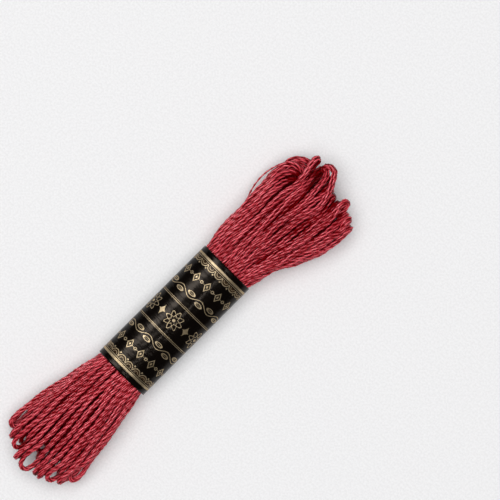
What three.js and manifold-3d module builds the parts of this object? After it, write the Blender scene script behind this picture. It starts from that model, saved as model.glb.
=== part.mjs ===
// A skein of embroidery floss: turns of thread held at the middle by a paper band, with a fan of loops at each end.
// Millimetres, +Z up, +Y along the skein towards its wider fan, standing on z = 0.
import * as THREE from "three";
import { mergeVertices } from "three/addons/utils/BufferGeometryUtils.js";
import Module from "manifold-3d";

const wasm = await Module();
wasm.setup();

// The paper band
const BAND_LENGTH = 29.7;
const BAND_WIDTH = 12.4;
const BAND_HEIGHT = 7.8;
const BAND_FOOT = 5.2; // width of its flat underside
const BAND_BELLY = 3.4; // height of its widest line above the surface
const PAPER = 1.0;
const BAND_ARC_STEPS = 10; // straight pieces in each half of an arc
const CLEARANCE = 0.3; // air between the paper's ends and the loops
const BLOCK = 200; // size of the blocks that trim the thread
const WELD = 1e-4; // corners closer than this are one corner
const FINEST = 0.03; // details of the joined surface smaller than this are merged away

// The thread, as the soft round strand that one turn makes
const THREAD = 1.8;
const THREAD_SIDES = 7;
const THREAD_STEPS = 20;
const TUCK = 1.0; // how far a leg's path runs on past the band's edge before it is trimmed
const TIP_BENDS = [0, 45, 90, 135, 180]; // degrees round a loop's tip
const MOUTH_HALF = 5.4; // the oval on which the legs leave the band: half its width, half its height and its middle
const MOUTH_RISE = 2.6;
const MOUTH_MIDDLE = 3.8;
const FULL_RISE = 1.4; // a loop this far above or below that middle leaves at the oval's very top or bottom
const FAN_HIGH = 6.4; // height of the highest loop's tip
const FAN_SWELL = 0.9; // how far the highest legs swell upwards between the band and their tips
const SWELL_AT = 0.3; // where along a loop the swelling is, and how far its legs have spread by then
const SWELL_SPREAD = 0.5;
const BEND_AT = 0.58; // where along a loop its legs have their bends

// One row is one loop of the fan. tip, mouthA, bendA, mouthB and bendB are places across the skein, for the tip, and for the
// first and second leg at the band's mouth and at the bend. reach is the tip's distance from the mouth and level its height.
// spread is the distance between the legs behind the tip, and roll turns the loop from lying flat (0) to standing on edge (90).
const COLUMNS = ["tip", "reach", "level", "spread", "roll", "mouthA", "bendA", "mouthB", "bendB"];
const FRONT_LOOPS = [
  [-2.2, 27.9, 5.6, 2.1, 85, -2.9, -2.0, -2.0, -2.4],
  [-0.3, 25.6, 4.8, 2.1, 45, -1.4, -0.6, -0.9, 0.2],
  [3.6, 24.6, 4.4, 2.1, 60, 0.8, 2.9, 2.2, 4.2],
  [6.2, 25.3, 3.0, 2.2, 35, 2.8, 4.8, 2.2, 5.8],
  [8.1, 25.7, 5.6, 2.1, 85, 3.0, 6.4, 3.8, 7.0],
  [9.5, 23.9, 4.0, 2.1, 45, 3.9, 7.9, 4.4, 8.5],
  [11.0, 23.6, 4.7, 2.1, 65, 4.7, 9.2, 4.9, 9.4],
  [10.4, 22.4, 2.2, 2.5, 10, 4.6, 8.4, 5.3, 10.0],
  [-4.8, 23.2, 0.8, 3.4, 0, -4.6, -6.0, -2.9, -3.4],
  [-0.2, 25.6, 0.8, 3.2, 0, -1.8, -1.6, -0.2, 0.8],
  [4.4, 24.6, 0.8, 3.2, 0, 1.0, 2.8, 2.6, 5.2],
  [8.9, 22.0, 0.8, 3.2, 0, 3.4, 6.6, 4.8, 8.9],
];
// Loops that lean over or curl at the tip, each a list of points along the thread.
const POINT_COLUMNS = ["across", "out", "height"];
const FRONT_LEANING = [
  [
    [-5.2, -1.0, 4.4],
    [-5.2, 0.0, 4.4],
    [-6.1, 8.6, 4.6],
    [-6.5, 17.6, 4.6],
    [-6.1, 24.0, 4.2],
    [-3.8, 26.2, 3.8],
    [-2.2, 25.6, 3.5],
    [-3.6, 24.6, 4.6],
    [-5.6, 22.0, 5.2],
    [-5.4, 17.6, 6.2],
    [-5.0, 8.6, 6.9],
    [-4.3, 0.0, 6.0],
    [-4.3, -1.0, 6.0],
  ],
  [
    [-3.4, -1.0, 6.2],
    [-3.4, 0.0, 6.2],
    [-4.1, 8.6, 7.2],
    [-4.7, 17.6, 6.4],
    [-4.3, 21.8, 5.6],
    [-2.6, 23.7, 4.6],
    [-2.0, 22.8, 4.0],
    [-3.2, 20.0, 3.6],
    [-3.5, 12.8, 4.6],
    [-2.7, 0.0, 5.6],
    [-2.7, -1.0, 5.6],
  ],
  [
    [0.6, -1.0, 6.4],
    [0.6, 0.0, 6.4],
    [1.1, 8.6, 7.3],
    [1.6, 17.6, 7.2],
    [1.8, 22.5, 6.6],
    [1.0, 25.4, 5.8],
    [0.5, 27.2, 5.2],
    [1.4, 28.5, 5.3],
    [2.9, 27.3, 5.8],
    [3.9, 24.0, 6.4],
    [4.1, 21.5, 6.9],
    [3.2, 17.6, 7.3],
    [2.3, 8.6, 7.3],
    [1.7, 0.0, 6.4],
    [1.7, -1.0, 6.4],
  ],
];
const REAR_LOOPS = [
  [-8.4, 22.6, 3.6, 2.4, 20, -5.3, -7.9, -4.6, -6.4],
  [-6.3, 24.4, 5.3, 2.1, 70, -4.2, -5.4, -3.9, -5.8],
  [-4.2, 25.2, 4.4, 2.2, 30, -3.4, -4.6, -2.6, -3.4],
  [-2.4, 26.6, 5.7, 2.1, 80, -1.9, -2.2, -1.6, -2.6],
  [-0.2, 27.4, 4.6, 2.6, 15, -0.9, -1.2, 0.3, 0.8],
  [2.5, 26.2, 5.6, 2.1, 75, 1.1, 2.0, 1.6, 2.5],
  [4.5, 25.4, 4.2, 2.3, 30, 2.2, 3.2, 3.2, 4.8],
  [6.9, 24.0, 5.0, 2.1, 60, 4.0, 5.8, 4.4, 6.5],
  [8.0, 22.0, 3.0, 2.6, 12, 4.6, 6.4, 5.3, 8.0],
  [-6.0, 22.0, 0.8, 3.4, 0, -4.6, -6.9, -3.0, -4.2],
  [-0.4, 24.8, 0.8, 3.2, 0, -1.6, -1.8, 0.2, 0.8],
  [5.0, 22.8, 0.8, 3.4, 0, 2.0, 3.2, 3.8, 6.0],
];

// The packed thread beneath the loops, a row for each section along the skein: its middle, half its width, its underside and top.
const CORE_COLUMNS = ["along", "middle", "half", "under", "over"];
const CORE_SECTIONS = [
  [-35.5, -0.2, 0.0, 2.4, 2.4],
  [-33.6, -0.2, 4.4, 1.2, 4.2],
  [-29.0, -0.1, 6.7, 0.6, 5.4],
  [-22.0, 0.0, 5.9, 0.7, 6.2],
  [-16.5, 0.0, 4.6, 1.5, 6.2],
  [16.5, 0.0, 4.6, 1.5, 6.2],
  [21.5, 0.3, 5.8, 0.7, 6.2],
  [28.0, 1.3, 7.0, 0.6, 5.9],
  [33.0, 2.0, 6.8, 0.8, 4.9],
  [36.0, 2.4, 4.2, 1.4, 4.0],
  [38.0, 2.4, 0.0, 2.6, 2.6],
];
const CORE_SIDES = 20;

// The materials' looks
const FLOSS_COLOUR = 0xb00f2e;
const FLOSS_ROUGHNESS = 0.45;
const PAPER_COLOUR = 0x101012;
const PAPER_ROUGHNESS = 0.35;

/** Turns rows of numbers into objects keyed by the columns' names. */
function table(columns, rows) {
  return rows.map((row) => Object.fromEntries(columns.map((name, i) => [name, row[i]])));
}

/** Makes a manifold-3d solid of a closed geometry. */
function solidOf(geometry) {
  const bare = geometry.clone();
  bare.deleteAttribute("normal");
  bare.deleteAttribute("uv");
  const merged = mergeVertices(bare, WELD);
  return new wasm.Manifold(
    new wasm.Mesh({
      numProp: 3,
      vertProperties: merged.attributes.position.array,
      triVerts: new Uint32Array(merged.index.array),
    }),
  );
}

/** Makes a BufferGeometry of a manifold-3d solid. */
function geometryOf(solid) {
  const mesh = solid.getMesh();
  const geometry = new THREE.BufferGeometry();
  geometry.setAttribute("position", new THREE.BufferAttribute(mesh.vertProperties, mesh.numProp));
  geometry.setIndex(new THREE.BufferAttribute(mesh.triVerts, 1));
  const flat = geometry.toNonIndexed();
  flat.computeVertexNormals();
  return flat;
}

/** A smooth path that takes as many steps round a tight bend as along a leg between two of its points. */
class ThreadPath extends THREE.CatmullRomCurve3 {
  getUtoTmapping(u) {
    return u;
  }
}

/** The points of one leg, from inside the band out to its bend. */
function legPoints(mouth, bend, reach, level) {
  const rise = THREE.MathUtils.clamp((level - MOUTH_MIDDLE) / FULL_RISE, -1, 1);
  const mouthLevel = MOUTH_MIDDLE + rise * MOUTH_RISE * Math.sqrt(1 - (mouth / MOUTH_HALF) ** 2);
  const swell = (FAN_SWELL * level) / FAN_HIGH;
  const spreading = THREE.MathUtils.lerp(mouth, bend, SWELL_SPREAD);
  return [
    new THREE.Vector3(mouth, -TUCK, mouthLevel),
    new THREE.Vector3(mouth, 0, mouthLevel),
    new THREE.Vector3(spreading, reach * SWELL_AT, (mouthLevel + level) / 2 + swell),
    new THREE.Vector3(bend, reach * BEND_AT, level + swell),
  ];
}

/** The tube of thread along points given out from the band's edge. end is 1 for the front, -1 for the rear. */
function tubeSolid(route, end) {
  const points = route.map((p) => new THREE.Vector3(p.x, end * (BAND_LENGTH / 2 + p.y), p.z));
  const section = new THREE.Shape(
    Array.from({ length: THREAD_SIDES }, (_, i) => {
      const angle = (2 * Math.PI * i) / THREAD_SIDES;
      return new THREE.Vector2((Math.cos(angle) * THREAD) / 2, (Math.sin(angle) * THREAD) / 2);
    }),
  );
  return solidOf(
    new THREE.ExtrudeGeometry(section, {
      steps: THREAD_STEPS,
      extrudePath: new ThreadPath(points, false, "centripetal"),
    }),
  );
}

/** The tube of one loop: out along one leg, round the tip and back along the other. */
function loopSolid(loop, end) {
  const roll = THREE.MathUtils.degToRad(loop.roll);
  const across = (Math.cos(roll) * loop.spread) / 2;
  const upright = (Math.sin(roll) * loop.spread) / 2;
  const round = TIP_BENDS.map((degrees) => {
    const angle = THREE.MathUtils.degToRad(degrees);
    const side = -Math.cos(angle);
    return new THREE.Vector3(
      loop.tip + side * across,
      loop.reach - (loop.spread / 2) * (1 - Math.sin(angle)),
      loop.level - side * upright,
    );
  });
  const outward = legPoints(loop.mouthA, loop.bendA, loop.reach, loop.level + upright);
  const homeward = legPoints(loop.mouthB, loop.bendB, loop.reach, loop.level - upright).reverse();
  return tubeSolid([...outward, ...round, ...homeward], end);
}

/** The tube of a loop that leans over, from its list of points. */
function leaningSolid(rows, end) {
  const points = table(POINT_COLUMNS, rows);
  return tubeSolid(points.map((p) => new THREE.Vector3(p.across, p.out, p.height)), end);
}

/** The packed thread: a turned form whose round sections are stretched to each row's width and height. */
function coreSolid() {
  const sections = table(CORE_COLUMNS, CORE_SECTIONS);
  const profile = sections.map((s) => new THREE.Vector2(s.half, s.along));
  const geometry = new THREE.LatheGeometry(profile, CORE_SIDES);
  const position = geometry.attributes.position;
  for (let i = 0; i < position.count; i++) {
    const s = sections[i % sections.length];
    const height = s.half ? (position.getZ(i) / s.half) * ((s.over - s.under) / 2) : 0;
    position.setXYZ(i, s.middle + position.getX(i), s.along, (s.over + s.under) / 2 + height);
  }
  return solidOf(geometry);
}

/** The band's outline seen from its end, drawn in by inset: a flat foot, round flanks and an arched top. */
function bandOutline(inset) {
  const half = BAND_WIDTH / 2 - inset;
  const foot = BAND_FOOT / 2;
  const points = [];
  for (let i = 0; i <= BAND_ARC_STEPS; i++) {
    const angle = (Math.PI / 2) * (i / BAND_ARC_STEPS);
    points.push(
      new THREE.Vector2(
        foot + (half - foot) * Math.sin(angle),
        BAND_BELLY - (BAND_BELLY - inset) * Math.cos(angle),
      ),
    );
  }
  for (let i = 1; i < 2 * BAND_ARC_STEPS; i++) {
    const angle = Math.PI * (i / (2 * BAND_ARC_STEPS));
    points.push(
      new THREE.Vector2(
        half * Math.cos(angle),
        BAND_BELLY + (BAND_HEIGHT - inset - BAND_BELLY) * Math.sin(angle),
      ),
    );
  }
  const leftFlank = points.slice(0, BAND_ARC_STEPS + 1).map((p) => new THREE.Vector2(-p.x, p.y));
  return [...points, ...leftFlank.reverse()];
}

/** The band: a sleeve of paper round the middle of the skein. */
function bandGeometry() {
  const sleeve = new THREE.Shape(bandOutline(0));
  sleeve.holes.push(new THREE.Path(bandOutline(PAPER)));
  const geometry = new THREE.ExtrudeGeometry(sleeve, { depth: BAND_LENGTH, bevelEnabled: false });
  return geometry.translate(0, 0, -BAND_LENGTH / 2).rotateX(Math.PI / 2);
}

/** A block much larger than the skein across and upwards, length long and with its middle at height. */
function blockSolid(length, height) {
  return solidOf(new THREE.BoxGeometry(BLOCK, length, BLOCK).translate(0, 0, height));
}

/** The outer shell of a solid, without the closed pockets inside it. */
function withoutPockets(solid) {
  return solid.decompose().reduce((largest, shell) => (shell.volume() > largest.volume() ? shell : largest));
}

/** The whole hank: loops trimmed at the band's edges, joined to the packed thread, and flat where they rest. */
function hankGeometry() {
  const loops = [
    ...FRONT_LEANING.map((rows) => leaningSolid(rows, 1)),
    ...table(COLUMNS, FRONT_LOOPS).map((loop) => loopSolid(loop, 1)),
    ...table(COLUMNS, REAR_LOOPS).map((loop) => loopSolid(loop, -1)),
  ];
  const joined = loops.reduce((fans, loop) => fans.add(loop));
  const trimmed = joined.subtract(blockSolid(BAND_LENGTH + 2 * CLEARANCE, 0));
  const ground = blockSolid(BLOCK, -BLOCK / 2);
  return geometryOf(withoutPockets(trimmed.add(coreSolid()).subtract(ground).simplify(FINEST)));
}

/** A named mesh with its own material. */
function piece(name, geometry, colour, roughness) {
  const material = new THREE.MeshStandardMaterial({ color: colour, roughness, metalness: 0 });
  const mesh = new THREE.Mesh(geometry, material);
  mesh.name = name;
  return mesh;
}

const skein = new THREE.Group();
skein.add(
  piece("hank", hankGeometry(), FLOSS_COLOUR, FLOSS_ROUGHNESS),
  piece("band", bandGeometry(), PAPER_COLOUR, PAPER_ROUGHNESS),
);

// The origin is at the middle of the underside.
const middle = new THREE.Box3().setFromObject(skein).getCenter(new THREE.Vector3());
for (const mesh of skein.children) mesh.position.set(-middle.x, -middle.y, 0);

export default skein;
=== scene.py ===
"""A skein of six-strand embroidery floss: looped turns fanned out at both ends, held at the middle by a
black paper band."""

import math

import bpy
import numpy as np
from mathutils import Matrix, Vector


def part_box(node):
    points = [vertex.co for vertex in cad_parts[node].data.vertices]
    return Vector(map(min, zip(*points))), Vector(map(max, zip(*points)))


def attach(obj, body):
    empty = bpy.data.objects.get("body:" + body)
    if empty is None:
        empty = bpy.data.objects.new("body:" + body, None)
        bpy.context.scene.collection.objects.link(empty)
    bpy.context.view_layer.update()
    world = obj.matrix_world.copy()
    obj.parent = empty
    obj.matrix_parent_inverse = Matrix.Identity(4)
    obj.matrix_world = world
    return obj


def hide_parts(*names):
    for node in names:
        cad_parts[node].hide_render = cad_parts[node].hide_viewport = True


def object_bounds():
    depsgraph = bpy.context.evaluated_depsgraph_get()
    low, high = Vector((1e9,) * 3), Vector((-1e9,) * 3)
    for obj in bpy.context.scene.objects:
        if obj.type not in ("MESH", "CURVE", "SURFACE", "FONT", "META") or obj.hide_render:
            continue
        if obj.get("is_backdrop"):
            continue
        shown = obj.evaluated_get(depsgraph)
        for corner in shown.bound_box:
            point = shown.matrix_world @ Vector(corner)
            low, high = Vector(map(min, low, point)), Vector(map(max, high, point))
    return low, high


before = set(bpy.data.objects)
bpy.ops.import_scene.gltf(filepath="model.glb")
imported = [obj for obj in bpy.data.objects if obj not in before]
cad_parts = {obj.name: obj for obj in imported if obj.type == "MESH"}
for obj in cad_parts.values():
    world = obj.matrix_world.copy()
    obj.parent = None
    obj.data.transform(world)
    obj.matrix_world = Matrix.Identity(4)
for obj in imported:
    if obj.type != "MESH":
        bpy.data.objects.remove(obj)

CAD_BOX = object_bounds()
MM = 0.001
SEED = 46

# ---- sizes
# In millimetres, from the band's middle, unless a comment says otherwise.
band_low, band_high = (np.array(corner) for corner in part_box("band"))
MIDDLE = np.array([(band_low[0] + band_high[0]) / 2, (band_low[1] + band_high[1]) / 2, 0.0])
BAND_WIDTH, BAND_LENGTH, BAND_HEIGHT = (band_high - band_low) / MM
BAND_FOOT = 5.2  # width of the flat underside
BAND_BELLY = 3.4  # height of the widest line
PAPER = 0.13
LAP = 1.6  # how far each end of the paper runs past the middle of the foot
BAND_COLUMNS = 260  # grid of the paper, round the skein and along it
BAND_ROWS = 90
INSIDE_SHIFT = 60.0  # how much further along the map the paper's inside lies

STRANDS = 6
STRAND = 0.26  # mean radius of one strand
LOBES = 0.18  # how far a strand's two plies stand out from its mean radius, as a share of it
PLY_PITCH = 3.2  # length in which the two plies go once round
THREAD_RELAXED = 0.74  # radius of the whole thread in the fan and, packed, inside the band
THREAD_PACKED = 0.50
OUTER_RING = 0.56  # where the strands run, as shares of the thread's radius: five of them, and the sixth
INNER_RING = 0.22
THREAD_LAY = (24, 60)  # length in which the strands go once round each other
STRAY_SIZE = 0.65  # thickness of a stray strand, as a share of the others'

PATH_POINTS = 64  # points of a turn while it settles, and rings of a strand and their corners
RINGS = 160
RING_SIDES = 6

FIRM = 0.90  # share of a thread's radius that its neighbours can't press into
HELD = 0.1  # how readily the topmost turns give way, where the rest count as 1
SUNK = 2.0  # how far below the room's top the turns beneath them stay, in the fan
ROUNDS = 160  # rounds of settling, and how many of them pass before neighbours are looked up again
ROUNDS_PER_LOOK = 10
NEIGHBOUR = 2.6  # distance within which points count as neighbours
PUSH = 0.9  # share of an overlap that one round clears
ALONG = 0.6  # share of a shift along the skein that is kept in each round

SLICE = 0.5  # grid for the fan's evened surface: slices along it, their number and that of the sectors
SLICES = 96
SECTORS = 120
# The crest attribute sets where the floss's painted shade deepens in the gaps between threads.
GAP_DEPTH = 2.0  # height over that surface at which the attribute crest reaches 0 below it and 1 above it

# Where the paper is pressed in between the threads: distance from the middle of the top, width and depth.
PRESSED = (
    (-5.2, 0.9, 0.05), (-3.6, 0.7, 0.04), (-1.1, 0.8, 0.06),
    (1.4, 0.7, 0.05), (3.3, 1.0, 0.06), (5.4, 0.8, 0.05),
)

# The print: each row's distance from the band's middle, and the pitch of its motifs.
INK_EDGE = 0.035  # half the width of the ink's soft edge
RULE_AT = 13.45
HAIRLINE_AT = 12.98
SCALLOPS_AT = 12.75
SCALLOP_PITCH = 2.0
LOZENGES_AT = 9.3
LOZENGE_PITCH = 3.0
VINE_AT = 5.9
VINE_PITCH = 5.2
FRAME_AT = 3.15
FRAME_STEP = 0.3  # from the frame's first line out to its second
ROSETTE_PITCH = 6.6

# Colours, as linear red, green and blue: a pair is mixed by noise.
CRIMSON = (0.81, 0.063, 0.093), (0.91, 0.101, 0.139)
# CRIMSON_SHADE and GLOSS_SHADE are painted shade: the floss's colour and gloss tint where its grooves and
# gaps are darkened.
CRIMSON_SHADE = (0.15, 0.0003, 0.0012)
GLOSS = (1.0, 0.70, 0.74)
GLOSS_SHADE = (0.30, 0.004, 0.010)
BLACK = (0.0014, 0.0009, 0.0007), (0.0030, 0.0018, 0.0013)
BROWN = (0.030, 0.016, 0.007)
GOLD = (0.34, 0.262, 0.152), (0.46, 0.362, 0.232)
PLAIN_PAPER = (0.50, 0.49, 0.47)
FLOOR = (0.825, 0.824, 0.829), (0.895, 0.895, 0.901)
FLOOR_HALF = 1500.0

# Strength of the light from all sides, for matt surfaces and in what glossy ones mirror.
WORLD_LIGHT = 0.25
WORLD_GLOSS = 0.07

# The camera: height above the floor, width of the view there and place over the skein, in metres, and turn
# in degrees.
CAMERA_HEIGHT = 0.6
VIEW_WIDTH = 0.1
VIEW_MIDDLE = (0.00079, 0.0205)
VIEW_TURN = 45

# The room that each fan fills. Each row is for one distance out from the band.
FRONT_ROOM = (
    # out, left edge, right edge, underside, top
    (-7.0, -5.8, 5.8, 0.25, 7.5),
    (0.0, -5.9, 5.9, 0.25, 7.5),
    (2.0, -6.4, 6.5, 0.0, 7.8),
    (4.2, -6.9, 7.1, 0.0, 8.0),
    (6.3, -7.1, 7.5, 0.0, 8.2),
    (9.2, -7.0, 9.1, 0.0, 8.4),
    (12.2, -7.1, 10.7, 0.0, 8.5),
    (15.6, -7.4, 12.2, 0.0, 8.3),
    (19.0, -7.6, 12.8, 0.0, 8.0),
    (22.5, -7.4, 12.8, 0.0, 7.6),
    (26.0, -6.6, 11.0, 0.0, 7.2),
    (30.0, -6.0, 9.0, 0.0, 6.8),
)
REAR_ROOM = (
    (-7.0, -5.8, 5.8, 0.25, 7.5),
    (0.0, -5.9, 5.9, 0.25, 7.5),
    (2.0, -6.5, 6.4, 0.0, 7.8),
    (4.2, -7.1, 6.9, 0.0, 8.0),
    (6.3, -7.6, 7.3, 0.0, 8.1),
    (9.2, -8.3, 7.9, 0.0, 8.3),
    (12.2, -8.9, 8.5, 0.0, 8.3),
    (15.6, -9.5, 9.0, 0.0, 8.1),
    (19.0, -9.9, 9.5, 0.0, 7.8),
    (22.5, -9.9, 9.5, 0.0, 7.3),
    (26.0, -8.4, 8.6, 0.0, 6.9),
    (29.0, -6.0, 7.0, 0.0, 6.5),
)

# The loops that lie on top. tip is where the tip is across the skein, reach its distance out from the band
# and level its height, from 0 at the underside to 1 at the top. spread is the distance between the legs
# behind the tip, and roll turns the loop from lying flat (0) to standing on edge (90 degrees). a0 to a5 and
# b0 to b5 place its two legs across the skein at the band's mouth and at the stations, and level_a and
# level_b are their levels.
STATIONS = (4.3, 8.6, 12.8, 17.6, 21.4)
LOOP_COLUMNS = (
    "tip", "reach", "level", "spread", "roll",
    "a0", "a1", "a2", "a3", "a4", "a5", "level_a",
    "b0", "b1", "b2", "b3", "b4", "b5", "level_b",
)
FRONT_LOOPS = (
    (-1.8, 28.0, 0.94, 1.7, 62,
     -2.5, -2.8, -2.9, -2.7, -2.2, -1.6, 1.0, -1.8, -1.9, -1.9, -1.6, -1.3, -1.5, 0.84),
    (-4.6, 24.8, 0.25, 2.2, 10,
     -4.4, -4.6, -4.8, -5.0, -5.4, -5.6, 0.25, -3.2, -3.4, -3.5, -3.6, -3.7, -3.7, 0.20),
    (-0.6, 27.0, 0.46, 1.8, 40,
     -0.9, -0.9, -0.8, -0.7, -0.6, -0.6, 0.95, -0.1, 0.0, 0.1, 0.1, 0.1, 0.1, 0.86),
    (1.7, 26.3, 0.34, 1.6, 20,
     0.2, 0.3, 0.5, 0.6, 0.7, 0.9, 0.30, 1.4, 1.6, 1.9, 2.2, 2.4, 2.5, 0.30),
    (3.2, 25.4, 0.40, 1.8, 60,
     2.4, 2.8, 3.2, 3.6, 3.7, 3.6, 0.45, 2.2, 2.5, 2.9, 3.2, 3.3, 3.2, 0.30),
    (5.4, 24.9, 0.60, 1.7, 75,
     2.9, 3.4, 4.2, 4.9, 5.4, 5.5, 0.80, 2.6, 3.2, 4.0, 4.8, 5.2, 5.4, 0.40),
    (6.5, 24.6, 0.55, 1.7, 75,
     3.2, 3.9, 4.9, 5.8, 6.4, 6.6, 0.80, 3.0, 3.7, 4.7, 5.6, 6.2, 6.5, 0.40),
    (8.5, 25.9, 0.98, 1.7, 50,
     3.7, 4.5, 5.6, 6.7, 7.4, 7.9, 1.0, 3.4, 4.4, 5.6, 6.6, 7.4, 8.3, 0.66),
    (9.7, 24.2, 0.62, 1.5, 80,
     4.3, 5.3, 6.9, 8.3, 9.3, 9.6, 0.86, 4.0, 5.0, 6.6, 8.1, 9.2, 9.5, 0.50),
    (11.3, 23.9, 0.85, 1.6, 76,
     4.9, 6.0, 7.6, 9.2, 10.4, 11.5, 0.88, 4.7, 5.8, 7.5, 9.2, 10.4, 11.4, 0.60),
    (11.9, 22.9, 0.60, 1.5, 75,
     5.3, 6.4, 8.2, 10.1, 12.0, 12.1, 0.70, 5.0, 6.2, 8.0, 9.9, 11.8, 12.0, 0.40),
)
# Loops that lean over or curl at the tip: where each passes across the skein and out from the band, and its
# level there.
FRONT_ROUTES = (
    (
        (-5.2, -4.0, 0.6), (-5.2, 0.5, 0.65), (-5.9, 4.3, 0.6), (-6.1, 8.6, 0.6), (-6.2, 12.8, 0.6),
        (-6.6, 17.6, 0.6), (-6.6, 21.4, 0.58), (-6.2, 24.0, 0.55), (-5.3, 25.4, 0.52), (-4.2, 26.0, 0.50),
        (-3.0, 26.3, 0.46), (-2.0, 26.0, 0.42), (-1.8, 25.2, 0.42), (-2.8, 25.0, 0.48), (-4.2, 24.9, 0.56),
        (-5.3, 24.3, 0.64), (-6.1, 22.6, 0.60), (-6.3, 20.0, 0.55), (-6.0, 17.6, 0.5), (-5.6, 12.8, 0.5),
        (-5.4, 8.6, 0.5), (-5.0, 4.3, 0.6), (-4.7, 0.5, 0.7), (-4.5, -4.0, 0.7),
    ),
    (
        (-4.9, -4.0, 0.9), (-5.1, 0.5, 1.0), (-5.8, 4.3, 1.0), (-6.1, 8.6, 1.0), (-6.2, 12.8, 1.0),
        (-6.5, 17.6, 1.0), (-6.6, 20.6, 0.95), (-6.2, 22.4, 0.9), (-5.3, 23.5, 0.85), (-4.2, 24.0, 0.78),
        (-3.0, 24.2, 0.70), (-2.0, 23.9, 0.56), (-1.9, 23.2, 0.52), (-3.0, 23.1, 0.62), (-4.2, 22.5, 0.75),
        (-4.9, 21.2, 0.85), (-5.2, 19.2, 0.95), (-5.2, 16.5, 1.0), (-5.0, 12.8, 1.0), (-4.8, 8.6, 1.0),
        (-4.6, 4.3, 1.0), (-4.2, 0.5, 1.0), (-4.1, -4.0, 0.9),
    ),
    (
        (-3.6, -4.0, 0.9), (-3.7, 0.5, 1.0), (-3.9, 4.3, 1.0), (-4.0, 8.6, 1.0), (-4.1, 12.8, 1.0),
        (-4.3, 16.5, 1.0), (-4.3, 18.6, 0.85), (-4.0, 20.4, 0.62), (-3.4, 21.6, 0.46), (-2.6, 22.0, 0.38),
        (-2.1, 21.2, 0.30), (-2.6, 20.0, 0.26), (-3.4, 17.6, 0.30), (-3.5, 12.8, 0.7),
        (-3.4, 8.6, 0.95), (-3.2, 4.3, 0.95), (-2.9, 0.5, 0.95), (-2.8, -4.0, 0.8),
    ),
    (
        (0.5, -4.0, 0.9), (0.5, 0.5, 1.0), (0.7, 4.3, 1.0), (0.9, 8.6, 1.0), (1.3, 12.8, 1.0),
        (1.7, 17.6, 1.0), (1.8, 21.5, 1.0), (1.7, 23.6, 0.95), (1.5, 25.6, 0.88), (1.0, 26.9, 0.80),
        (0.3, 27.4, 0.74), (-0.5, 27.4, 0.70), (-0.7, 27.8, 0.72), (-0.2, 28.2, 0.78), (0.6, 28.5, 0.84),
        (1.2, 28.7, 0.88), (1.8, 28.2, 0.92), (2.7, 26.8, 0.94), (3.4, 25.2, 1.0), (3.9, 23.2, 1.0),
        (4.0, 21.0, 1.0), (3.7, 19.0, 1.0), (3.2, 16.5, 1.0), (2.5, 12.8, 1.0), (2.1, 8.6, 1.0),
        (1.7, 4.3, 1.0), (1.4, 0.5, 1.0), (1.3, -4.0, 0.9),
    ),
    (
        (0.4, -4.0, 0.6), (0.4, 0.5, 0.6), (0.5, 4.3, 0.7), (0.5, 8.6, 0.75), (0.6, 12.8, 0.78),
        (0.8, 17.6, 0.78), (0.9, 21.4, 0.74), (1.1, 24.6, 0.62), (1.4, 26.6, 0.60), (2.0, 27.2, 0.62),
        (2.6, 26.6, 0.68), (2.8, 25.2, 0.80), (2.9, 23.2, 0.90), (2.8, 21.2, 0.94), (2.6, 17.6, 0.92),
        (2.1, 12.8, 0.75), (1.9, 8.6, 0.65), (1.7, 4.3, 0.6), (1.5, 0.5, 0.6), (1.4, -4.0, 0.6),
    ),
)
REAR_LOOPS = (
    (-8.2, 22.8, 0.55, 2.3, 20,
     -5.3, -6.3, -7.2, -8.1, -8.6, -8.9, 0.6, -4.8, -5.6, -6.2, -6.8, -7.2, -7.4, 0.7),
    (-6.4, 24.2, 0.85, 1.8, 80,
     -4.5, -5.2, -5.8, -6.0, -6.3, -6.5, 1.0, -4.2, -5.0, -5.6, -6.2, -6.6, -6.8, 0.7),
    (-4.6, 25.2, 0.70, 2.2, 30,
     -3.7, -4.2, -4.6, -5.0, -5.3, -5.4, 1.0, -3.0, -3.4, -3.6, -3.6, -3.6, -3.7, 0.9),
    (-2.6, 26.6, 0.90, 1.8, 85,
     -2.6, -2.9, -3.0, -2.6, -2.4, -2.5, 1.0, -2.2, -2.4, -2.6, -2.8, -2.8, -2.8, 0.75),
    (-0.8, 27.2, 0.75, 2.6, 12,
     -1.7, -1.8, -1.8, -1.9, -1.8, -1.9, 1.0, -0.6, -0.6, -0.6, -0.4, 0.2, 0.6, 1.0),
    (1.6, 26.2, 0.60, 1.8, 60,
     0.3, 0.4, 0.6, 1.0, 1.3, 1.4, 1.0, 0.8, 0.9, 1.2, 1.6, 1.8, 1.8, 0.7),
    (2.9, 26.0, 0.90, 1.8, 85,
     1.3, 1.6, 2.0, 2.4, 2.6, 2.8, 1.0, 1.7, 2.0, 2.4, 2.6, 2.9, 3.1, 0.75),
    (4.7, 25.2, 0.70, 2.2, 35,
     2.3, 2.7, 3.2, 3.7, 4.0, 4.1, 1.0, 3.0, 3.5, 4.2, 4.8, 5.2, 5.4, 0.85),
    (6.7, 24.0, 0.85, 1.8, 75,
     3.7, 4.3, 5.0, 5.6, 6.2, 6.6, 1.0, 3.9, 4.6, 5.4, 6.0, 6.6, 6.8, 0.7),
    (7.9, 22.2, 0.55, 2.3, 15,
     4.6, 5.4, 6.2, 6.7, 7.0, 7.1, 0.95, 5.3, 6.2, 7.1, 7.8, 8.6, 8.8, 0.6),
)

# The loops beneath them are drawn by seeded chance within these limits.
UNDER_COLUMNS = ("tip_low", "tip_high", "reach_low", "reach_high", "level_low", "level_high", "loops")
FRONT_UNDER = (
    (-5.0, 4.6, 22.0, 25.0, 0.22, 0.42, 5),
    (5.4, 9.6, 19.5, 22.5, 0.22, 0.42, 3),
    (-5.4, 8.2, 20.5, 24.0, 0.02, 0.14, 7),
)
REAR_UNDER = (
    (-6.6, 6.2, 20.5, 24.0, 0.28, 0.56, 10),
    (-7.2, 6.8, 19.5, 23.5, 0.02, 0.14, 8),
)
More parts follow.
